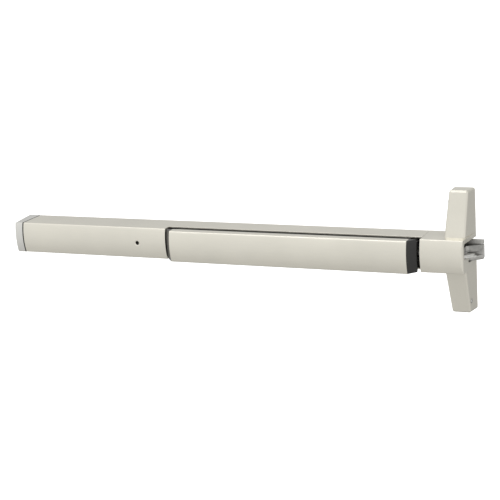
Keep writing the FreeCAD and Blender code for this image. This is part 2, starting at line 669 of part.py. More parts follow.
# ---- return spring ---------------------------------------------------------------------------
def spring_bracket():
    """Base with two uprights that hold the spring's rod."""
    left = SPRING_LEFT - UPRIGHT_T
    right = SPRING_RIGHT + UPRIGHT_T
    base = box(left - SPRING_FOOT, right + SPRING_FOOT, RAIL_WEB, BRACKET_BASE, -12, 12)
    top = ROD_DEPTH + COLLAR_R
    walls = [box(x, x + UPRIGHT_T, BRACKET_BASE, top, -8, 8) for x in (left, SPRING_RIGHT)]
    rod = along(ROD_DEPTH, 0, ROD_R, left - 1, right + 1)
    return clear_rail_screws(fuse(base, *walls).cut(rod))


def spring_rod():
    """The rod that the return spring and its collar slide on."""
    return along(ROD_DEPTH, 0, ROD_R, SPRING_LEFT - UPRIGHT_T - 1, SPRING_RIGHT + UPRIGHT_T + 1)


def return_spring():
    """Compression spring that pushes the draw bar back to the latch side."""
    return coil(V(SPRING_LEFT, -ROD_DEPTH, 0), X_AXIS, SPRING_R, SPRING_WIRE_R, SPRING_L, SPRING_TURNS)


def spring_collar():
    """Collar between the spring and the draw bar's tooth."""
    ring = along(ROD_DEPTH, 0, COLLAR_R, COLLAR_X, COLLAR_X + COLLAR_T)
    return ring.cut(along(ROD_DEPTH, 0, ROD_R + RUNNING, COLLAR_X - 1, COLLAR_X + COLLAR_T + 1))


# ---- dogging ---------------------------------------------------------------------------------
def dogging_bracket():
    """Box bracket behind the key hole that carries the spindle at both ends."""
    left, right = KEY_X - DOG_HALF_L, KEY_X + DOG_HALF_L - 4
    outer = DOG_WALL_IN + DOG_WALL_T
    base = box(left, right, RAIL_WEB, RAIL_WEB + DOG_WALL_T, -outer, outer)
    front = box(left, right, DOG_FRONT - DOG_WALL_T, DOG_FRONT, -outer, outer)
    walls = [box(left, right, RAIL_WEB, DOG_FRONT, z0, z1)
             for z0, z1 in ((DOG_WALL_IN, outer), (-outer, -DOG_WALL_IN))]
    bore = across(KEY_X, 0, SPINDLE_R + RUNNING, DOG_FRONT - DOG_WALL_T - 1, DOG_FRONT + 1)
    journal = across(KEY_X, 0, JOURNAL_R + RUNNING, RAIL_WEB - 1, RAIL_WEB + DOG_WALL_T + 1)
    return clear_rail_screws(fuse(base, front, *walls).cut([bore, journal]))


def dogging_spindle():
    """Spindle with a hex socket that faces the key hole."""
    shoulder = RAIL_WEB + DOG_WALL_T + SEAT_GAP
    body = across(KEY_X, 0, SPINDLE_R, shoulder, SPINDLE_FRONT)
    journal = across(KEY_X, 0, JOURNAL_R, RAIL_WEB + SEAT_GAP, shoulder)
    corner_r = HEX_AF / math.sqrt(3)
    corners = [V(KEY_X + corner_r * math.cos(math.radians(60 * i)), -SPINDLE_FRONT,
                 corner_r * math.sin(math.radians(60 * i))) for i in range(7)]
    socket = Part.Face(Part.makePolygon(corners)).extrude(V(0, HEX_DEPTH, 0))
    return fuse(body, journal).cut(socket)


def dogging_hook():
    """Hook on the spindle; a quarter turn drops its nose behind the draw bar's tooth."""
    y0, y1 = HOOK_Y, HOOK_Y + HOOK_T
    hub = across(KEY_X, 0, HOOK_HUB_R, y0, y1)
    arm = box(KEY_X - HOOK_ARM_OUT, KEY_X - HOOK_ARM_IN, y0, y1, 0, HOOK_REACH + HOOK_NOSE)
    nose = box(KEY_X - HOOK_ARM_OUT, KEY_X + HOOK_OVERLAP, y0, y1, HOOK_REACH, HOOK_REACH + HOOK_NOSE)
    return fuse(hub, arm, nose).cut(across(KEY_X, 0, SPINDLE_R, y0 - 1, y1 + 1))


# ---- head ------------------------------------------------------------------------------------
def wing(inset):
    """The upper wing as a tapered block, or its inside at an inset."""
    corners = []
    for z in (WING_ROOT_Z - WING_OVERLAP, HEAD_H / 2 - inset):
        depth = WING_TIP_DEPTH + (HEAD_H / 2 - z) * WING_SLOPE - inset
        left = WING_TIP_LEFT - (HEAD_H / 2 - z) * WING_FLARE + inset
        right = HEAD_RIGHT - inset
        back = -1.0 if inset else 0.0
        corners.append([V(left, -back, z), V(right - WING_DRAFT * back, -back, z),
                        V(right - WING_DRAFT * depth, -depth, z), V(left, -depth, z)])
    low, high = corners
    quads = [low, high] + [[low[i], low[i - 1], high[i - 1], high[i]] for i in range(4)]
    faces = [Part.Face(Part.makePolygon(quad + [quad[0]])) for quad in quads]
    return Part.Solid(Part.Shell(faces))


def rounded_wing():
    """The upper wing with every edge that a hand can touch rounded."""
    block = wing(0)
    root = WING_ROOT_Z - WING_OVERLAP + 0.1
    picked = [e for e in block.Edges
              if e.CenterOfMass.y < -1 and e.CenterOfMass.z > root]
    return block.makeFillet(WING_ROUND, picked)


def centre_block(inset):
    """The deep centre section of the head, or its inside at an inset."""
    back = 0 if inset == 0 else -1
    bar = crowned_bar(HEAD_LEFT + inset, HEAD_RIGHT + 1, HALF_H - inset, FACE_DEPTH, back, inset)
    if inset == 0:
        bar = round_face_corners(bar, FACE_DEPTH)
    apex = crown_depth(0, FACE_DEPTH) - inset
    flat_x, side_x = CENTRE_FLAT_X, CENTRE_SIDE_X - inset
    side_depth = CENTRE_SIDE_DEPTH
    mid = ((flat_x + side_x) / 2 + (side_x - flat_x) * 0.2, (apex + side_depth) / 2 + 1.2)
    plan = plan_prism([
        (HEAD_LEFT + inset, back), (HEAD_LEFT + inset, apex + 1), (flat_x, apex + 1), (flat_x, apex),
        (mid, (side_x, side_depth)), (HEAD_RIGHT - inset, back)], -HALF_H, HALF_H)
    return bar.common(plan)


def mirrored(solid):
    """The same solid below mid-height."""
    return solid.mirror(V(0, 0, 0), Z_AXIS)


def latch_door():
    """The space of the latch's side opening, with a sill under the trigger."""
    profile = [(-1, LATCH_DOOR_TOP), (LATCH_DOOR_DEPTH, LATCH_DOOR_TOP), (LATCH_DOOR_DEPTH, LATCH_DOOR_SILL),
               (LATCH_DOOR_STEP, LATCH_DOOR_SILL), (LATCH_DOOR_STEP, LATCH_DOOR_BOTTOM), (-1, LATCH_DOOR_BOTTOM)]
    points = [V(8, -depth, z) for depth, z in profile]
    face = Part.Face(Part.makePolygon(points + points[:1]))
    door = face.extrude(V(HEAD_RIGHT - 3, 0, 0))
    corners = [e for e in door.Edges if is_along_x(e) and e.CenterOfMass.y < 0]
    return door.makeFillet(LATCH_DOOR_ROUND, corners)


def head_cover():
    """The cast head cover: two wings, centre section, latch opening and bar opening."""
    upper = rounded_wing()
    outer = fuse(centre_block(0), upper, mirrored(upper))
    room = wing(HEAD_WALL)
    inner = centre_block(HEAD_WALL).fuse([room, mirrored(room)])
    opening = latch_door()
    bar_way = box(HEAD_LEFT - 1, HEAD_LEFT + HEAD_WALL + 1, -1, RAIL_DEPTH - 0.9, -22, 22)
    holes = [along(COVER_SCREW_DEPTH, -COVER_SCREW_Z, SCREW_R + SCREW_CLEAR, 5, HEAD_RIGHT + 1),
             along(COVER_SCREW_DEPTH, COVER_SCREW_Z, SCREW_R + SCREW_CLEAR, -30, -5)]
    sinks = [along(COVER_SCREW_DEPTH, -COVER_SCREW_Z, SCREW_HEAD_R + SEAT_GAP, right_seat(), HEAD_RIGHT + 1),
             along(COVER_SCREW_DEPTH, COVER_SCREW_Z, SCREW_HEAD_R + SEAT_GAP, -30, left_seat())]
    return outer.cut([inner, opening, bar_way] + holes + sinks)


def right_seat():
    """X of the lower cover screw's seat in the drafted right side."""
    return HEAD_RIGHT - WING_DRAFT * COVER_SCREW_DEPTH - 1.2


def left_seat():
    """X of the upper cover screw's seat in the left side."""
    return WING_TIP_LEFT - (HEAD_H / 2 - COVER_SCREW_Z) * WING_FLARE + 1.2


def cover_screws():
    """The two screws in the sides of the wings."""
    return Part.makeCompound([
        screw(V(right_seat(), -COVER_SCREW_DEPTH, -COVER_SCREW_Z), V(-1, 0, 0), 6.0),
        screw(V(left_seat(), -COVER_SCREW_DEPTH, COVER_SCREW_Z), X_AXIS, 6.0)])


def frame_screw_spots():
    """(x, z) of the screws that hold the latch frame to the chassis."""
    return [(-13.0, -10.0), (-13.0, 10.0)]


def chassis_plate():
    """Steel plate on the door inside the head, with screw ears and a tongue into the rail."""
    right = HEAD_RIGHT - HEAD_WALL - WING_DRAFT * CHASSIS_T - CHASSIS_CLEAR
    left = WING_TIP_LEFT + HEAD_WALL + CHASSIS_CLEAR
    top = HEAD_H / 2 - HEAD_WALL - CHASSIS_CLEAR
    mid_left = HEAD_LEFT + HEAD_WALL + CHASSIS_CLEAR
    half = HALF_H - HEAD_WALL - CHASSIS_CLEAR
    tall = box(left, right, 0, CHASSIS_T, -top, top)
    wide = box(mid_left, right, 0, CHASSIS_T, -half, half)
    tongue = box(TONGUE_LEFT, mid_left + 16, RAIL_WEB, TONGUE_TOP, -TONGUE_HALF_H, TONGUE_HALF_H)
    notch = box(CHASSIS_NOTCH_X, right + 1, -1, CHASSIS_T + 1, LATCH_DOOR_BOTTOM - 0.3, LATCH_DOOR_TOP + 0.3)
    ear_front = COVER_SCREW_DEPTH + 4
    ear_right = HEAD_RIGHT - HEAD_WALL - WING_DRAFT * ear_front - CHASSIS_CLEAR
    ear_left = left_seat() + 1.3 + CHASSIS_CLEAR
    ears = [box(ear_right - 3, ear_right, CHASSIS_T, ear_front, -COVER_SCREW_Z - 6, -COVER_SCREW_Z + 6),
            box(ear_left, ear_left + 3, CHASSIS_T, ear_front, COVER_SCREW_Z - 6, COVER_SCREW_Z + 6)]
    holes = [across(x, z, MOUNT_HOLE_R, -1, CHASSIS_T + 1)
             for x in (-HEAD_SCREW_DX / 2, HEAD_SCREW_DX / 2)
             for z in (-HEAD_SCREW_DZ / 2, HEAD_SCREW_DZ / 2)]
    threads = [along(COVER_SCREW_DEPTH, -COVER_SCREW_Z, SCREW_R, 0, HEAD_RIGHT),
               along(COVER_SCREW_DEPTH, COVER_SCREW_Z, SCREW_R, -20, 0)]
    taps = [across(x, z, SCREW_R, CHASSIS_T - SCREW_BITE, CHASSIS_T) for x, z in frame_screw_spots()]
    plate = fuse(tall, wide, tongue, *ears).cut(holes + threads + taps + [notch])
    return clear_rail_screws(plate)


def latch_frame():
    """Two cheeks that carry the latch's pin, joined by a strap on the chassis."""
    edge = CHASSIS_NOTCH_X
    front = LATCH_DEPTH + LATCH_HUB_R
    parts = []
    for z0, z1 in ((CHEEK_TOP, CHEEK_TOP + CHEEK_T), (CHEEK_BOTTOM - CHEEK_T, CHEEK_BOTTOM)):
        parts.append(plan_prism([
            (-20, CHASSIS_T), (edge, CHASSIS_T), (edge + 3.5, LATCH_DEPTH - 8), (edge + 3.5, LATCH_DEPTH),
            ((edge + 1.5, front - 2.5), (edge - 3, front)), (LATCH_X - LATCH_HUB_R, front),
            (-20, LATCH_DEPTH - 8)], z0, z1))
    strap = box(-20, -6, CHASSIS_T, CHASSIS_T + CHEEK_T, CHEEK_BOTTOM, CHEEK_TOP)
    pin = upright(LATCH_X, LATCH_DEPTH, PIVOT_R, CHEEK_BOTTOM - 5, CHEEK_TOP + 5)
    holes = [across(x, z, SCREW_R + SCREW_CLEAR, 0, 10) for x, z in frame_screw_spots()]
    return fuse(strap, *parts).cut([pin] + holes)


def frame_screws():
    """The screws that hold the latch frame to the chassis."""
    seat = CHASSIS_T + CHEEK_T
    return Part.makeCompound([screw(V(x, -seat, z), Y_AXIS, CHEEK_T + SCREW_BITE)
                              for x, z in frame_screw_spots()])


def latch_pivot_pin():
    """The pin that the latch and the deadlatch trigger turn on."""
    return upright(LATCH_X, LATCH_DEPTH, PIVOT_R, CHEEK_BOTTOM - CHEEK_T, CHEEK_TOP + CHEEK_T)


def latch_spring():
    """Torsion spring round the latch's sleeve."""
    bottom = GROOVE_BOTTOM + 0.8
    length = CHEEK_TOP - bottom - 0.8
    return coil(V(LATCH_X, -LATCH_DEPTH, bottom), Z_AXIS, TORSION_R, TORSION_WIRE_R, length, TORSION_TURNS)


# ---- latch -----------------------------------------------------------------------------------
def nose_outline(inset=0.0):
    """Latch nose seen from above: a neck, a ramp that starts outside the cover, a flat keeper face."""
    tip = LATCH_TIP_X - inset
    back = LATCH_BACK
    start = (RAMP_START[0] - inset * 0.55, RAMP_START[1] - inset * 0.83)
    middle = (RAMP_MID[0] - inset * 0.78, RAMP_MID[1] - inset * 0.72)
    neck = (9.5 - inset * 0.4, RAMP_START[1] + 2.5 - inset * 0.6)
    return [(LATCH_X - 6, 44.5), (neck[0], 44.5), neck, start,
            (middle, (tip, RAMP_END_DEPTH - inset * 0.6)), (tip, back + 1.2),
            ((tip - 0.35, back + 0.35), (tip - 1.2, back)), (6, back), (LATCH_X - 6, TAIL_DEPTH)]


def nose_plan(z0, z1, inset=0.0):
    """The nose between two heights."""
    return plan_prism(nose_outline(inset), z0, z1)


def behind(solid, depth):
    """The part of a solid that lies nearer the door than a depth."""
    return solid.common(box(-60, 60, -1, depth, -60, 60))


def before(solid, depth):
    """The part of a solid that lies nearer the user than a depth."""
    return solid.common(box(-60, 60, depth, 90, -60, 60))


def insert_room():
    """The space of the latch's grooved middle tier."""
    return box(14, LATCH_TIP_X + 5, LATCH_BACK + LATCH_WEB, 60, SLOT_TOP, GROOVE_BOTTOM)


def latch_bolt():
    """The pivoting latch: tiers joined behind the trigger slot, a sleeve and a forked tail."""
    wall_front = LATCH_BACK + LATCH_WEB
    hub = (LATCH_X, LATCH_DEPTH)
    rounding = [plan_wire(nose_outline(inset), LATCH_BOTTOM + rise)
                for inset, rise in ((NOSE_ROUND, 0), (NOSE_ROUND * 0.3, NOSE_ROUND * 0.3), (0, NOSE_ROUND))]
    lower = fuse(Part.makeLoft(rounding[:2], True, True), Part.makeLoft(rounding[1:], True, True),
                 nose_plan(LATCH_BOTTOM + NOSE_ROUND, SLOT_BOTTOM),
                 upright(*hub, LATCH_HUB_R, LATCH_BOTTOM, SLOT_BOTTOM))
    middle = nose_plan(SLOT_TOP, GROOVE_BOTTOM).cut(insert_room())
    stem = fuse(middle, upright(*hub, LATCH_HUB_R, SLOT_TOP, GROOVE_BOTTOM),
                upright(LATCH_X, TAIL_DEPTH, LATCH_TAIL_R, SLOT_TOP, GROOVE_BOTTOM))
    prong = upright(LATCH_X, TAIL_DEPTH, LATCH_TAIL_R, SLOT_BOTTOM, LINK_BOTTOM)
    wall = behind(nose_plan(SLOT_BOTTOM, SLOT_TOP), wall_front)
    neck = behind(nose_plan(GROOVE_BOTTOM, GROOVE_TOP, GROOVE_IN), wall_front)
    upper = behind(nose_plan(GROOVE_TOP, LATCH_TOP), LATCH_BACK + UPPER_TIER_T)
    upper = upper.common(box(8, 60, -1, 60, -60, 60))
    sleeves = [upright(*hub, SLEEVE_R, GROOVE_BOTTOM, CHEEK_TOP - CHEEK_GAP),
               upright(*hub, SLEEVE_R, CHEEK_BOTTOM + CHEEK_GAP, LATCH_BOTTOM)]
    bore = upright(*hub, PIVOT_R + RUNNING, CHEEK_BOTTOM, CHEEK_TOP)
    fork = box(-20, 14, 0, TAIL_DEPTH + 10, LINK_BOTTOM - 0.5, LINK_TOP + 0.5)
    tail_pin = upright(LATCH_X, TAIL_DEPTH, PIN_R, SLOT_BOTTOM, GROOVE_BOTTOM + 1)
    return fuse(lower, stem, prong, wall, neck, upper, *sleeves).cut([bore, fork, tail_pin])


def latch_insert():
    """The hard middle tier of the nose, with fine grooves across its ramp."""
    tier = nose_plan(SLOT_TOP, GROOVE_BOTTOM).common(insert_room())
    skin = tier.cut(nose_plan(SLOT_TOP - 1, GROOVE_BOTTOM + 1, 0.5))
    pitch = (GROOVE_BOTTOM - SLOT_TOP) / 6
    grooves = [box(10, 40, 0, 60, SLOT_TOP + i * pitch - 0.25, SLOT_TOP + i * pitch + 0.25)
               for i in range(1, 6)]
    return tier.cut(skin.common(Part.makeCompound(grooves)))


def latch_tail_pin():
    """The pin in the latch's forked tail that the link pulls."""
    return upright(LATCH_X, TAIL_DEPTH, PIN_R, SLOT_BOTTOM, GROOVE_BOTTOM)


def deadlatch_trigger():
    """The finger in the latch's slot that the strike pushes in to deadlock the latch."""
    z0 = SLOT_BOTTOM + TRIGGER_GAP
    z1 = SLOT_TOP - TRIGGER_GAP
    low = z1 - TRIGGER_T
    step = low + TRIGGER_T * 0.55
    hub = (LATCH_X, LATCH_DEPTH)
    tip = TRIGGER_TIP_X

    def finger(reach, low, high):
        return plan_prism([
            (LATCH_X, LATCH_DEPTH + TRIGGER_HUB_R), (14, 50.5), (reach - 3.5, 42),
            ((reach, 40.2), (reach, 36.5)), (reach - 4, 33), (9, 41), (LATCH_X, LATCH_DEPTH - 4)], low, high)

    body = fuse(upright(*hub, TRIGGER_HUB_R, z0, z1), finger(tip, low, step), finger(tip - 3, step, z1))
    return body.cut(upright(*hub, PIVOT_R + RUNNING, z0 - 1, z1 + 1))


# ---- the whole object ------------------------------------------------------------------------
def all_nodes():
    """Every node's name and shape."""
    nodes = {
        "base_rail": base_rail(),
        "filler_cover": filler_cover(),
        "end_gasket": end_gasket(),
        "end_cap": end_cap(),
        "end_bracket": end_bracket(),
        "end_cap_screw": end_cap_screw(),
        "pad_shell": pad_shell(),
        "pad_carrier": pad_carrier(),
        "left_pad_cap": pad_cap("left"),
        "right_pad_cap": pad_cap("right"),
        "bumpers": bumpers(),
        "draw_bar": draw_bar(),
        "draw_teeth": draw_teeth(),
        "latch_link": latch_link(),
        "link_rivets": link_rivets(),
        "spring_bracket": spring_bracket(),
        "spring_rod": spring_rod(),
        "return_spring": return_spring(),
        "spring_collar": spring_collar(),
        "dogging_bracket": dogging_bracket(),
        "dogging_spindle": dogging_spindle(),
        "dogging_hook": dogging_hook(),
        "head_cover": head_cover(),
        "cover_screws": cover_screws(),
        "chassis_plate": chassis_plate(),
        "latch_frame": latch_frame(),
        "frame_screws": frame_screws(),
        "latch_pivot_pin": latch_pivot_pin(),
        "latch_spring": latch_spring(),
        "latch_bolt": latch_bolt(),
        "latch_insert": latch_insert(),
        "latch_tail_pin": latch_tail_pin(),
        "deadlatch_trigger": deadlatch_trigger(),
        "rail_screws": rail_screws(),
    }
    for side, x in CRANK_XS.items():
        nodes[side + "_pad_link"] = pad_link(x)
        nodes[side + "_crank_bracket"] = crank_bracket(x)
        nodes[side + "_crank"] = crank(x)
        nodes[side + "_crank_pins"] = crank_pins(x)
        nodes[side + "_crank_pivot"] = crank_pivot(x)
    return nodes


def main():
    """Write one STEP file for each node."""
    os.makedirs("parts", exist_ok=True)
    for name, shape in all_nodes().items():
        if not shape.isValid():
            print("not valid:", name)
        shape.exportStep(os.path.join("parts", name + ".step"))
    print("draw travel", round(DRAW_TRAVEL, 3), "latch swing",
          round(math.degrees(math.asin(DRAW_TRAVEL / TAIL_ARM)), 3))


main()
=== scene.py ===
"""Looks of a panic exit bar: finishes, finely edged metalwork, camera and studio.

Everything is in metres in the part's own frame: the origin is on the door's face at the middle
of the head's screws, +X runs to the latch side, +Y goes into the door and +Z is up. "Front"
means towards the user, which is -Y.
"""

import json
import logging
import math
from dataclasses import dataclass
from enum import Enum
from typing import Any, Callable, Dict, Optional, Sequence, Tuple, Union

import bmesh
import bpy
from mathutils import Matrix, Vector


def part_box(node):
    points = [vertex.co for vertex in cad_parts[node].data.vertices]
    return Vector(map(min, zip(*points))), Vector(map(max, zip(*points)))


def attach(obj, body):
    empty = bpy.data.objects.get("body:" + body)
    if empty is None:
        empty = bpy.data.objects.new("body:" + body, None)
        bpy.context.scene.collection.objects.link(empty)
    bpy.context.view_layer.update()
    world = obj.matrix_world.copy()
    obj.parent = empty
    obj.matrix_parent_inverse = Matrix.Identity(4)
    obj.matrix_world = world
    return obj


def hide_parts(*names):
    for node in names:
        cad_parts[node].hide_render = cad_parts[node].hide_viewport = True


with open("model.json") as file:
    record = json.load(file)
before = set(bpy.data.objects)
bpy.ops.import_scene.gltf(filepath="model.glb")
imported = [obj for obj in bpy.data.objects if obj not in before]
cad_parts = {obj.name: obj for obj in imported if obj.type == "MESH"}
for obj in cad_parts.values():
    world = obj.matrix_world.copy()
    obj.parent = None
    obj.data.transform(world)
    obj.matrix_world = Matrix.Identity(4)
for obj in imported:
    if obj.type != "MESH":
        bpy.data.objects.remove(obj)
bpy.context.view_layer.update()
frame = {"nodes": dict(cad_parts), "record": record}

LOG = logging.getLogger("exit_bar")
MM = 0.001
Colour = Tuple[float, float, float]
Number = Union[int, float]


# ---- shader expressions ---------------------------------------------------------------------
class Value:
    """A shader socket that can be used in Python arithmetic."""

    def __init__(self, graph: "Graph", socket: bpy.types.NodeSocket) -> None:
        """Wraps one output socket of a graph."""
        self.graph = graph
        self.socket = socket

    def _math(self, operation: str, *terms: Union["Value", Number]) -> "Value":
        """Adds one Math node.

        Args:
            operation: The node's operation.
            terms: What goes into its sockets, in order.

        Returns:
            The node's result.
        """
        return self.graph.node("ShaderNodeMath", {"operation": operation}, dict(enumerate(terms)))

    def __add__(self, other: Union["Value", Number]) -> "Value":
        """Sum."""
        return self._math("ADD", self, other)

    __radd__ = __add__

    def __sub__(self, other: Union["Value", Number]) -> "Value":
        """Difference."""
        return self._math("SUBTRACT", self, other)

    def __rsub__(self, other: Number) -> "Value":
        """Difference with a plain number in front."""
        return self._math("SUBTRACT", other, self)

    def __mul__(self, other: Union["Value", Number]) -> "Value":
        """Product."""
        return self._math("MULTIPLY", self, other)

    __rmul__ = __mul__

    def above(self, edge: Number, softness: Number) -> "Value":
        """A mask that rises from 0 at edge to 1 at edge plus softness."""
        return self.graph.node(
            "ShaderNodeMapRange", {"clamp": True},
            {"Value": self, "From Min": edge, "From Max": edge + softness})


class Graph:
    """The node tree of one material, built through a single method."""

    def __init__(self, name: str) -> None:
        """Makes an empty material.

        Args:
            name: The material's name.
        """
        self.material = bpy.data.materials.new(name)
        self.material.use_nodes = True
        self.tree = self.material.node_tree
        self.tree.nodes.clear()

    @classmethod
    def on_tree(cls, tree: bpy.types.NodeTree) -> "Graph":
        """Wraps a tree that isn't a material's."""
        made = cls.__new__(cls)
        made.material = None
        made.tree = tree
        return made

    def node(self, kind: str, settings: Dict[str, Any], inputs: Dict[Any, Any], out: Any = 0) -> Value:
        """Adds one node, sets it and feeds it.

        Args:
            kind: The node's type.
            settings: Its own settings; "stops" are a colour ramp's positions and colours.
            inputs: Socket name or number to a Value or a plain value.
            out: The name or number of the output wanted.

        Returns:
            The output as a Value.
        """
        made = self.tree.nodes.new(kind)
        for key, value in settings.items():
            if key == "stops":
                self._set_stops(made.color_ramp, value)
            else:
                setattr(made, key, value)
        for key, value in inputs.items():
            if isinstance(value, Value):
                self.tree.links.new(value.socket, made.inputs[key])
            else:
                made.inputs[key].default_value = value
        return Value(self, made.outputs[out]) if len(made.outputs) else None

    @staticmethod
    def _set_stops(ramp: bpy.types.ColorRamp, stops: Sequence[Tuple[float, Colour]]) -> None:
        """Gives a colour ramp its stops."""
        while len(ramp.elements) < len(stops):
            ramp.elements.new(0.5)
        for element, (position, colour) in zip(ramp.elements, stops):
            element.position = position
            element.color = (*colour, 1.0)

    def place(self, scale: Tuple[float, float, float]) -> Value:
        """Object coordinates stretched by a scale along each axis."""
        spot = self.node("ShaderNodeTexCoord", {}, {}, "Object")
        return self.node("ShaderNodeMapping", {}, {"Vector": spot, "Scale": scale})

    def noise(self, scale: Number, detail: Number = 3.0,
              stretch: Tuple[float, float, float] = (1, 1, 1)) -> Value:
        """Noise between about 0 and 1, in features per metre."""
        return self.node("ShaderNodeTexNoise", {},
                         {"Vector": self.place(stretch), "Scale": scale, "Detail": detail}, "Fac")

    def cells(self, scale: Number) -> Value:
        """Flat cells with a random value each, in cells per metre."""
        inputs = {"Vector": self.place((1, 1, 1)), "Scale": scale}
        colour = self.node("ShaderNodeTexVoronoi", {}, inputs, "Color")
        return self.node("ShaderNodeSeparateColor", {}, {"Color": colour}, "Red")

    def blend(self, mask: Value, first: Colour, second: Union[Colour, Value]) -> Value:
        """Mixes two colours by a mask."""
        inputs: Dict[Any, Any] = {0: mask, 6: (*first, 1.0)}
        inputs[7] = second if isinstance(second, Value) else (*second, 1.0)
        return self.node("ShaderNodeMix", {"data_type": "RGBA"}, inputs, 2)

    def bump(self, height: Value, strength: Number, distance: Number, under: Optional[Value] = None) -> Value:
        """A bump from a height, on top of another normal if one is given."""
        inputs: Dict[Any, Any] = {"Height": height, "Strength": strength, "Distance": distance}
        if under is not None:
            inputs["Normal"] = under
        return self.node("ShaderNodeBump", {}, inputs, "Normal")

    def shade(self, inputs: Dict[str, Any]) -> bpy.types.Material:
        """Ends the graph with a Principled shader.

        Args:
            inputs: The shader's sockets.

        Returns:
            The finished material.
        """
        surface = self.node("ShaderNodeBsdfPrincipled", {}, inputs)
        self.node("ShaderNodeOutputMaterial", {}, {"Surface": surface})
        return self.material


# ---- finishes -------------------------------------------------------------------------------
class Grain(Enum):
    """Which way a metal's fine lines run, as a stretch of the noise along X, Y and Z."""

    ALONG_BAR = (0.02, 1.0, 1.0)
    NONE = (1.0, 1.0, 1.0)


@dataclass(frozen=True)
class SatinMetal:
    """Satin light metal: extruded, cast or pressed, with fine lines and a little handling wear."""

    name: str
    colour: Colour = (0.70, 0.675, 0.60)
    shadow_colour: Colour = (0.62, 0.60, 0.535)
    metallic: float = 0.72
    roughness: float = 0.34
    grain: Grain = Grain.ALONG_BAR
    grain_per_m: float = 2200.0
    grain_bump: float = 0.06
    speck_per_m: float = 2600.0
    speck_bump: float = 0.05

    def build(self) -> bpy.types.Material:
        """Makes the material."""
        g = Graph(self.name)
        cloud = g.noise(9.0, 4.0)
        lines = g.noise(self.grain_per_m, 2.0, self.grain.value)
        speck = g.noise(self.speck_per_m, 2.0)
        smudge = g.noise(38.0, 5.0).above(0.52, 0.25)
        tint = cloud * 0.7 + lines * 0.3
        colour = g.blend(tint.above(0.30, 0.45), self.shadow_colour, self.colour)
        rough = smudge * 0.05 + lines * 0.08 + (self.roughness - 0.06)
        normal = g.bump(lines, self.grain_bump, 0.0004)
        normal = g.bump(speck, self.speck_bump, 0.0003, normal)
        return g.shade({"Base Color": colour, "Metallic": self.metallic,
                        "Roughness": rough, "Normal": normal})


@dataclass(frozen=True)
class MouldedPlastic:
    """Moulded plastic or rubber with a spark-eroded texture and dusty high spots."""

    name: str
    colour: Colour = (0.007, 0.0065, 0.006)
    dust_colour: Colour = (0.013, 0.012, 0.011)
    roughness: float = 0.34
    texture_per_m: float = 1500.0
    texture_bump: float = 0.25

    def build(self) -> bpy.types.Material:
        """Makes the material."""
        g = Graph(self.name)
        texture = g.noise(self.texture_per_m, 3.0)
        dust = g.noise(60.0, 5.0).above(0.45, 0.35)
        colour = g.blend(dust, self.colour, self.dust_colour)
        rough = texture * 0.12 + dust * 0.08 + (self.roughness - 0.08)
        normal = g.bump(texture, self.texture_bump, 0.0003)
        return g.shade({"Base Color": colour, "Roughness": rough, "Normal": normal})


@dataclass(frozen=True)
class PlatedSteel:
    """Zinc-plated or plain steel: crystal patches, fine pits and faint stains."""

    name: str
    colour: Colour = (0.56, 0.56, 0.54)
    dark_colour: Colour = (0.42, 0.42, 0.41)
    roughness: float = 0.34
    patch_per_m: float = 260.0
    pit_per_m: float = 900.0
    pit_bump: float = 0.12

    def build(self) -> bpy.types.Material:
        """Makes the material."""
        g = Graph(self.name)
        patch = g.cells(self.patch_per_m)
        stain = g.noise(55.0, 5.0).above(0.5, 0.3)
        pits = g.noise(self.pit_per_m, 4.0)
        colour = g.blend(patch * 0.35 + stain * 0.5, self.colour, self.dark_colour)
        rough = patch * 0.1 + stain * 0.1 + self.roughness
        normal = g.bump(pits, self.pit_bump, 0.0003)
        return g.shade({"Base Color": colour, "Metallic": 1.0, "Roughness": rough, "Normal": normal})


@dataclass(frozen=True)
class Finishes:
    """Every finish on the object."""

    cast: bpy.types.Material
    cap: bpy.types.Material
    extruded: bpy.types.Material
    pad: bpy.types.Material
    black: bpy.types.Material
    rubber: bpy.types.Material
    zinc: bpy.types.Material
    bright: bpy.types.Material
    wire: bpy.types.Material
    latch: bpy.types.Material
    laminate: bpy.types.Material
    trigger: bpy.types.Material


def make_finishes() -> Finishes:
    """Builds each material once."""
    return Finishes(
        cast=SatinMetal("satin_cast", grain=Grain.NONE, grain_per_m=900.0, grain_bump=0.05).build(),
        cap=SatinMetal("satin_cap", colour=(0.66, 0.655, 0.63), shadow_colour=(0.58, 0.575, 0.55),
                       grain=Grain.NONE, grain_per_m=900.0).build(),
        extruded=SatinMetal("satin_extruded").build(),
        pad=SatinMetal("satin_pad").build(),
        black=MouldedPlastic("black_plastic").build(),
        rubber=MouldedPlastic("black_rubber", roughness=0.75, texture_bump=0.15).build(),
        zinc=PlatedSteel("zinc_plate").build(),
        bright=PlatedSteel("bright_steel", roughness=0.26, pit_bump=0.06).build(),
        wire=PlatedSteel("spring_wire", colour=(0.22, 0.22, 0.23), dark_colour=(0.12, 0.12, 0.12)).build(),
        latch=PlatedSteel("latch_steel", colour=(0.47, 0.465, 0.45), dark_colour=(0.34, 0.335, 0.32),
                          roughness=0.40, pit_bump=0.22).build(),
        laminate=PlatedSteel("laminated_steel", colour=(0.40, 0.395, 0.38), dark_colour=(0.28, 0.28, 0.27),
                             roughness=0.42, pit_bump=0.18).build(),
        trigger=PlatedSteel("trigger_steel", colour=(0.62, 0.615, 0.59), roughness=0.36).build(),
    )


# ---- modelling bench ------------------------------------------------------------------------
class Pick(Enum):
    """What a selection holds: the operator's mode and the mesh's list."""

    VERTS = ("VERT", "verts")
    EDGES = ("EDGE", "edges")
    FACES = ("FACE", "faces")


def middle(item: Any) -> Vector:
    """The middle of a vertex, an edge or a face."""
    if hasattr(item, "co"):
        return item.co
    corners = [v.co for v in item.verts]
    return sum(corners, Vector()) / len(corners)


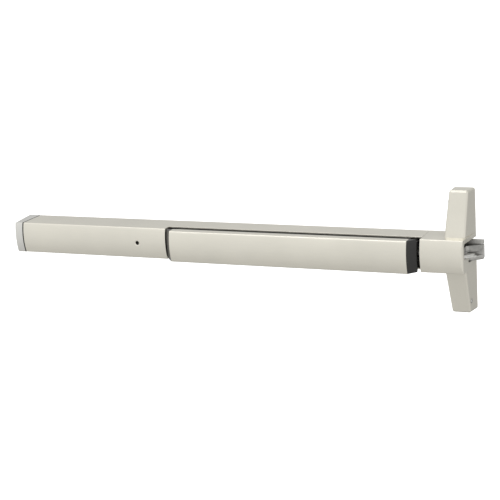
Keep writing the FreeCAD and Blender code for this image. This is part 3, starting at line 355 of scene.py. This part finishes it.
def near(a: float, b: float, slack: float = 1e-5) -> bool:
    """Whether two places are the same within a slack in metres."""
    return abs(a - b) < slack


class Workpiece:
    """One mesh on the bench: a primitive or a node's copy, shaped with edit-mode operators."""

    def __init__(self, obj: bpy.types.Object, name: str) -> None:
        """Takes the active object onto the bench."""
        obj.name = name
        self.obj = obj

    @classmethod
    def block(cls, name: str, low: Sequence[float], high: Sequence[float]) -> "Workpiece":
        """Starts from a box between two corners.

        Args:
            name: The piece's name.
            low: Lowest corner in metres.
            high: Highest corner in metres.

        Returns:
            The piece, in edit mode.
        """
        bpy.ops.object.select_all(action="DESELECT")
        centre = [(a + b) / 2 for a, b in zip(low, high)]
        bpy.ops.mesh.primitive_cube_add(size=1, location=centre)
        obj = bpy.context.object
        obj.scale = [b - a for a, b in zip(low, high)]
        bpy.ops.object.transform_apply(location=True, rotation=True, scale=True)
        piece = cls(obj, name)
        bpy.ops.object.mode_set(mode="EDIT")
        return piece

    @classmethod
    def rod(cls, name: str, centre: Sequence[float], radius: float, length: float, axis: str,
            sides: int = 32) -> "Workpiece":
        """Starts from a round or many-sided bar.

        Args:
            name: The piece's name.
            centre: Its middle in metres.
            radius: Its radius.
            length: Its length along the axis.
            axis: "X", "Y" or "Z".
            sides: How many sides it has.

        Returns:
            The piece, in edit mode.
        """
        bpy.ops.object.select_all(action="DESELECT")
        turn = {"X": (0, math.pi / 2, 0), "Y": (math.pi / 2, 0, 0), "Z": (0, 0, 0)}[axis]
        bpy.ops.mesh.primitive_cylinder_add(vertices=sides, radius=radius, depth=length,
                                            location=centre, rotation=turn)
        bpy.ops.object.transform_apply(location=True, rotation=True, scale=True)
        piece = cls(bpy.context.object, name)
        bpy.ops.object.mode_set(mode="EDIT")
        return piece

    @classmethod
    def node_copy(cls, name: str, node: str) -> "Workpiece":
        """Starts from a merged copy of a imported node.

        Args:
            name: The piece's name.
            node: The node copied.

        Returns:
            The piece, in edit mode.
        """
        bpy.ops.object.select_all(action="DESELECT")
        source = frame["nodes"][node]
        obj = bpy.data.objects.new(name, source.data.copy())
        bpy.context.scene.collection.objects.link(obj)
        obj.select_set(True)
        bpy.context.view_layer.objects.active = obj
        piece = cls(obj, name)
        bpy.ops.object.mode_set(mode="EDIT")
        bpy.ops.mesh.select_all(action="SELECT")
        bpy.ops.mesh.remove_doubles(threshold=2e-6)
        bpy.ops.mesh.dissolve_limited(angle_limit=math.radians(0.6))
        return piece

    def select(self, kind: Pick, test: Callable[[Any], bool]) -> "Workpiece":
        """Selects what passes a test, and nothing else."""
        mode, group = kind.value
        bpy.ops.mesh.select_mode(type=mode)
        bpy.ops.mesh.select_all(action="DESELECT")
        mesh = bmesh.from_edit_mesh(self.obj.data)
        for item in getattr(mesh, group):
            if test(item):
                item.select_set(True)
        mesh.select_flush_mode()
        bmesh.update_edit_mesh(self.obj.data)
        return self

    def move(self, by: Sequence[float]) -> "Workpiece":
        """Moves the selection."""
        bpy.ops.transform.translate(value=by)
        return self

    def bevel(self, width: float, segments: int) -> "Workpiece":
        """Rounds the selected edges."""
        bpy.ops.mesh.bevel(offset=width, segments=segments, profile=0.5)
        return self

    def extrude(self, by: Sequence[float]) -> "Workpiece":
        """Draws the selected faces out."""
        bpy.ops.mesh.extrude_region_move(TRANSFORM_OT_translate={"value": by})
        return self

    def delete_faces(self) -> "Workpiece":
        """Deletes the selected faces."""
        bpy.ops.mesh.delete(type="FACE")
        return self

    def leave(self) -> "Workpiece":
        """Cleans the mesh, turns its faces outwards and goes back to object mode."""
        bpy.ops.mesh.select_mode(type="VERT")
        bpy.ops.mesh.select_all(action="SELECT")
        bpy.ops.mesh.remove_doubles(threshold=1e-6)
        bpy.ops.mesh.normals_make_consistent(inside=False)
        bpy.ops.object.mode_set(mode="OBJECT")
        return self

    def enter(self) -> "Workpiece":
        """Goes back to edit mode."""
        bpy.ops.object.select_all(action="DESELECT")
        self.obj.select_set(True)
        bpy.context.view_layer.objects.active = self.obj
        bpy.ops.object.mode_set(mode="EDIT")
        return self

    def apply(self, kind: str, **settings: Any) -> "Workpiece":
        """Adds one modifier and applies it.

        Args:
            kind: The modifier's type.
            settings: Its settings.

        Returns:
            The piece.
        """
        bpy.ops.object.select_all(action="DESELECT")
        self.obj.select_set(True)
        bpy.context.view_layer.objects.active = self.obj
        modifier = self.obj.modifiers.new(kind.lower(), kind)
        for key, value in settings.items():
            setattr(modifier, key, value)
        bpy.ops.object.modifier_apply(modifier=modifier.name)
        return self

    def wall(self, thickness: float) -> "Workpiece":
        """Gives an open sheet its wall, inwards."""
        return self.apply("SOLIDIFY", thickness=thickness, offset=-1.0, use_even_offset=True)

    def ease(self, width: float, segments: int = 2, angle: float = 35.0) -> "Workpiece":
        """Eases every edge sharper than an angle."""
        return self.apply("BEVEL", width=width, segments=segments, limit_method="ANGLE",
                          angle_limit=math.radians(angle), use_clamp_overlap=True,
                          harden_normals=False, miter_outer="MITER_ARC")

    def cut(self, tool: "Workpiece") -> "Workpiece":
        """Cuts another piece's shape out of this one and drops the other."""
        self.apply("BOOLEAN", operation="DIFFERENCE", object=tool.obj, solver="EXACT")
        bpy.data.objects.remove(tool.obj, do_unlink=True)
        return self

    def join(self, other: "Workpiece") -> "Workpiece":
        """Adds another piece's mesh to this one."""
        bpy.ops.object.select_all(action="DESELECT")
        other.obj.select_set(True)
        self.obj.select_set(True)
        bpy.context.view_layer.objects.active = self.obj
        bpy.ops.object.join()
        return self

    def fit(self, material: bpy.types.Material, body: str, nodes: Sequence[str], slot: str,
            smooth: float = 32.0) -> "Workpiece":
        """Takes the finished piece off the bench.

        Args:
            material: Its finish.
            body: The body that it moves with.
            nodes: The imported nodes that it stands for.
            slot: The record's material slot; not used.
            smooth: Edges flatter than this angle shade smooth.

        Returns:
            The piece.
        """
        bpy.ops.object.select_all(action="DESELECT")
        self.obj.select_set(True)
        bpy.context.view_layer.objects.active = self.obj
        bpy.ops.object.shade_smooth_by_angle(angle=math.radians(smooth))
        self.apply("WEIGHTED_NORMAL", weight=80, keep_sharp=True)
        self.obj.data.materials.clear()
        self.obj.data.materials.append(material)
        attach(self.obj, body)
        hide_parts(*nodes)
        LOG.info("%s: %d faces on %s", self.obj.name, len(self.obj.data.polygons), body)
        return self


# ---- the crowned bar --------------------------------------------------------------------------
@dataclass
class CrownedSection:
    """The section shared by the pad, the filler cover and the end cap."""

    half_height: float = 27.5 * MM
    crown: float = 4.3 * MM
    corner_round: float = 1.6 * MM
    rows: int = 13

    def rise(self, z: float) -> float:
        """How far the crowned face stands in front of its corners at a height."""
        radius = (self.half_height ** 2 + self.crown ** 2) / (2 * self.crown)
        return math.sqrt(max(radius ** 2 - z ** 2, 0.0)) - (radius - self.crown)

    def bar(self, name: str, x: Tuple[float, float], back: float, corner: float) -> Workpiece:
        """Shapes a solid bar with a crowned front.

        Args:
            name: The piece's name.
            x: Its ends.
            back: Depth of its back.
            corner: Depth of the face's upper and lower corners.

        Returns:
            The bar, in edit mode.
        """
        high = self.half_height
        piece = Workpiece.block(name, (x[0], -corner, -high), (x[1], -back, high))
        piece.select(Pick.EDGES, lambda e: near(middle(e).y, -corner) and near(middle(e).z, 0)
                     and abs(e.verts[0].co.z - e.verts[1].co.z) > high)
        bpy.ops.mesh.subdivide(number_cuts=self.rows)
        for row in range(1, self.rows + 1):
            z = -high + row * 2 * high / (self.rows + 1)
            piece.select(Pick.VERTS, lambda v: near(v.co.y, -corner) and near(v.co.z, z))
            piece.move((0, -self.rise(z), 0))
        return piece

    def round_corners(self, piece: Workpiece, corner: float) -> Workpiece:
        """Rounds the long upper and lower corners of the crowned face."""
        piece.select(Pick.EDGES, lambda e: near(middle(e).y, -corner)
                     and near(abs(middle(e).z), self.half_height)
                     and near(e.verts[0].co.z, e.verts[1].co.z)
                     and not near(e.verts[0].co.x, e.verts[1].co.x))
        return piece.bevel(self.corner_round, 4)


@dataclass
class TouchPad:
    """The pad: a crowned metal skin with a ramped black cap at each end."""

    section: CrownedSection
    corner: float = 73.75 * MM
    skin: float = 2.2 * MM
    edge: float = 0.5 * MM

    def build(self, finishes: Finishes) -> None:
        """Makes and fits the skin and both caps."""
        low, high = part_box("pad_shell")
        piece = self.section.bar("pad_skin", (low.x, high.x), -high.y, self.corner)
        self.section.round_corners(piece, self.corner)
        piece.select(Pick.FACES, lambda f: near(abs(f.normal.x), 1, 1e-3) or f.normal.y > 0.99).delete_faces()
        piece.leave().wall(self.skin).ease(self.edge)
        piece.fit(finishes.pad, "pad", ["pad_shell"], "pad_metal")
        for side in ("left", "right"):
            node = side + "_pad_cap"
            cap = Workpiece.node_copy(side + "_ramp_cap", node)
            cap.leave().ease(0.45 * MM, 2, 30)
            cap.fit(finishes.black, "pad", [node], "black_plastic")


@dataclass
class FillerCover:
    """The fixed cover on the hinge side, with a dished key hole."""

    section: CrownedSection
    corner: float = 58.6 * MM
    seat: float = 42.9 * MM
    wall: float = 2.2 * MM
    edge: float = 0.45 * MM
    leg_inset: float = 3.1 * MM
    leg_length: float = 9.0 * MM
    leg_thickness: float = 1.6 * MM
    leg_root: float = 8.0 * MM
    leg_end_gap: float = 1.0 * MM
    leg_round: float = 0.5 * MM
    pin_start: float = 6.0 * MM
    key_x: float = -572.9 * MM
    key_radius: float = 3.4 * MM
    dish_radius: float = 6.0 * MM
    dish_depth: float = 1.0 * MM

    def key_cutter(self) -> Workpiece:
        """A pin with a flared front, for the key hole and its dish."""
        floor = self.corner + self.section.crown - self.dish_depth
        start, end = self.seat + self.pin_start, floor
        pin = Workpiece.rod("key_cutter", (self.key_x, -(start + end) / 2, 0), self.key_radius,
                            end - start, "Y", 40)
        pin.select(Pick.FACES, lambda f: f.normal.y < -0.9)
        flare = self.dish_depth * 1.5
        pin.extrude((0, -flare, 0))
        widen = (self.key_radius + (self.dish_radius - self.key_radius) * 1.5) / self.key_radius
        bpy.ops.transform.resize(value=(widen, 1, widen), center_override=(self.key_x, -end - flare, 0))
        return pin.leave()

    def build(self, finishes: Finishes) -> None:
        """Makes and fits the cover and the legs that clip into the rail."""
        low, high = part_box("filler_cover")
        piece = self.section.bar("filler_skin", (low.x, high.x), self.seat, self.corner)
        self.section.round_corners(piece, self.corner)
        piece.select(Pick.FACES, lambda f: near(abs(f.normal.x), 1, 1e-3) or f.normal.y > 0.99).delete_faces()
        piece.leave().wall(self.wall)
        piece.cut(self.key_cutter()).ease(self.edge)
        for side in (-1, 1):
            outer = side * (self.section.half_height - self.leg_inset)
            inner = outer - side * self.leg_thickness
            bottom, top = min(outer, inner), max(outer, inner)
            foot = -self.seat + self.leg_length
            leg = Workpiece.block("leg", (low.x + self.leg_end_gap, -self.seat - self.leg_root, bottom),
                                  (high.x - self.leg_end_gap, foot, top))
            leg.select(Pick.EDGES, lambda e: near(middle(e).y, foot)).bevel(self.leg_round, 2)
            piece.join(leg.leave())
        piece.fit(finishes.extruded, "frame", ["filler_cover"], "satin_rail")


@dataclass
class BaseRail:
    """The extruded channel that is screwed to the door."""

    wall: float = 2.5 * MM
    web: float = 3.0 * MM
    edge: float = 0.5 * MM

    def build(self, finishes: Finishes) -> None:
        """Makes and fits the channel."""
        low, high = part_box("base_rail")
        piece = Workpiece.block("rail_channel", low, high)
        piece.select(Pick.FACES, lambda f: abs(f.normal.x) > 0.9 or f.normal.y < -0.9).delete_faces()
        piece.leave().wall(self.wall).enter()
        extra = self.web - self.wall
        piece.select(Pick.FACES, lambda f: f.normal.y < -0.9 and near(middle(f).y, high.y - self.wall, 1e-4))
        piece.move((0, -extra, 0)).leave()
        piece.ease(self.edge, 3)
        piece.fit(finishes.extruded, "frame", ["base_rail"], "satin_rail")


@dataclass
class EndCap:
    """The tapered cap on the hinge end."""

    edge: float = 0.4 * MM

    def build(self, finishes: Finishes) -> None:
        """Makes and fits the cap."""
        piece = Workpiece.node_copy("cap_shell", "end_cap")
        piece.leave().ease(self.edge, 2, 38)
        piece.fit(finishes.cap, "frame", ["end_cap"], "satin_head")


# ---- the head -------------------------------------------------------------------------------
@dataclass
class Head:
    """The cast head cover."""

    edge: float = 0.4 * MM

    def build(self, finishes: Finishes) -> None:
        """Makes and fits the cover."""
        cover = Workpiece.node_copy("head_casting", "head_cover")
        cover.leave().ease(self.edge, 2, 38)
        cover.fit(finishes.cast, "frame", ["head_cover"], "satin_head")


@dataclass
class LatchSet:
    """The latch, its hard middle tier and the trigger."""

    edge: float = 0.35 * MM

    def build(self, finishes: Finishes) -> None:
        """Makes and fits the three pieces."""
        rows = (("latch_nose", "latch_bolt", finishes.latch, "latch", "latch_steel"),
                ("latch_tier", "latch_insert", finishes.laminate, "latch", "latch_steel"),
                ("trigger_finger", "deadlatch_trigger", finishes.trigger, "trigger", "trigger_steel"))
        for name, node, material, body, slot in rows:
            piece = Workpiece.node_copy(name, node)
            piece.leave().ease(self.edge if node != "latch_insert" else 0.12 * MM, 2, 32)
            piece.fit(material, body, [node], slot)


# ---- camera and studio ----------------------------------------------------------------------
@dataclass
class Studio:
    """Camera, soft light and a plain pale floor."""

    camera_at: Tuple[float, float, float] = (0.55877, -2.05724, 0.57197)
    azimuth: float = 0.43002
    elevation: float = 0.25612
    roll: float = -0.06759
    lens_mm: float = 96.54
    floor_z: float = -0.62
    floor_half: float = 60.0
    sky_strength: float = 1.12
    sky_behind: float = 0.50

    def camera(self) -> None:
        """Adds the camera at its place and makes it the scene's."""
        data = bpy.data.cameras.new("camera")
        data.lens = self.lens_mm
        data.sensor_width = 36.0
        data.clip_end = 200.0
        cam = bpy.data.objects.new("camera", data)
        turn = (Matrix.Rotation(self.azimuth, 4, "Z")
                @ Matrix.Rotation(math.pi / 2 - self.elevation, 4, "X")
                @ Matrix.Rotation(self.roll, 4, "Z"))
        cam.matrix_world = Matrix.Translation(self.camera_at) @ turn
        bpy.context.scene.collection.objects.link(cam)
        bpy.context.scene.camera = cam

    def sky(self) -> None:
        """Adds a sky that is bright above and darker below."""
        world = bpy.data.worlds.new("studio")
        bpy.context.scene.world = world
        world.use_nodes = True
        world.node_tree.nodes.clear()
        g = Graph.on_tree(world.node_tree)
        spot = g.node("ShaderNodeTexCoord", {}, {}, "Generated")
        height = g.node("ShaderNodeSeparateXYZ", {}, {0: spot}, "Z")
        stops = [(0.0, (0.46, 0.455, 0.44)), (0.20, (0.66, 0.655, 0.64)), (0.38, (0.88, 0.88, 0.87)),
                 (0.62, (1.0, 1.0, 0.99))]
        ramp = g.node("ShaderNodeValToRGB", {"stops": stops}, {0: height * 0.5 + 0.5}, "Color")
        depth = g.node("ShaderNodeSeparateXYZ", {}, {0: spot}, "Y")
        strength = self.sky_strength - depth.above(0.1, 0.6) * self.sky_behind
        back = g.node("ShaderNodeBackground", {}, {"Color": ramp, "Strength": strength})
        g.node("ShaderNodeOutputWorld", {}, {"Surface": back})

    def light(self) -> None:
        """Adds the soft boxes."""
        self._softbox("key", (-1.2, -2.1, 2.3), (-0.3, 0.0, 0.0), 1.6, 20.0)
        self._softbox("edge", (-0.4, 1.4, 2.4), (-0.4, 0.0, 0.0), 1.4, 12.0)

    @staticmethod
    def _softbox(name: str, spot: Sequence[float], aim: Sequence[float], size: float, power: float) -> None:
        """Adds one square area light that looks at a point."""
        data = bpy.data.lights.new(name, "AREA")
        data.size = size
        data.energy = power
        lamp = bpy.data.objects.new(name, data)
        lamp.location = spot
        lamp.rotation_euler = (Vector(aim) - Vector(spot)).to_track_quat("-Z", "Y").to_euler()
        bpy.context.scene.collection.objects.link(lamp)

    def floor(self) -> None:
        """Adds the pale floor below the object; it sends no light back up to it."""
        bpy.ops.object.select_all(action="DESELECT")
        bpy.ops.mesh.primitive_plane_add(size=2 * self.floor_half, location=(0, 0, self.floor_z))
        floor = bpy.context.object
        floor.name = "floor"
        g = Graph("floor_paper")
        floor.data.materials.append(g.shade({
            "Base Color": (0.9, 0.9, 0.895, 1.0), "Roughness": 0.9,
            "Emission Color": (1.0, 1.0, 0.995, 1.0), "Emission Strength": 0.45}))
        floor.visible_diffuse = False
        floor.visible_glossy = False

    def build(self) -> None:
        """Sets up camera, lights and floor."""
        bpy.context.scene.view_settings.view_transform = "Standard"
        self.camera()
        self.sky()
        self.light()
        self.floor()


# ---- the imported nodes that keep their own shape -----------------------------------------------
def dress_nodes(finishes: Finishes) -> None:
    """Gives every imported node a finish."""
    by_slot = {
        "satin_head": finishes.cast, "satin_rail": finishes.extruded, "pad_metal": finishes.pad,
        "black_plastic": finishes.black, "rubber": finishes.rubber, "zinc_steel": finishes.zinc,
        "fastener_steel": finishes.bright, "spring_steel": finishes.wire,
        "latch_steel": finishes.latch, "trigger_steel": finishes.trigger,
    }
    for row in frame["record"]["subparts"]:
        node = frame["nodes"][row["node"]]
        node.data.materials.clear()
        node.data.materials.append(by_slot[row["material_slot"]])


def main() -> None:
    """Builds the looks in order."""
    logging.basicConfig(level=logging.INFO, format="%(name)s %(message)s")
    Studio().build()
    finishes = make_finishes()
    dress_nodes(finishes)
    section = CrownedSection()
    for assembly in (TouchPad(section), FillerCover(section), BaseRail(), EndCap(), Head(), LatchSet()):
        assembly.build(finishes)


if __name__ == "__main__":
    main()
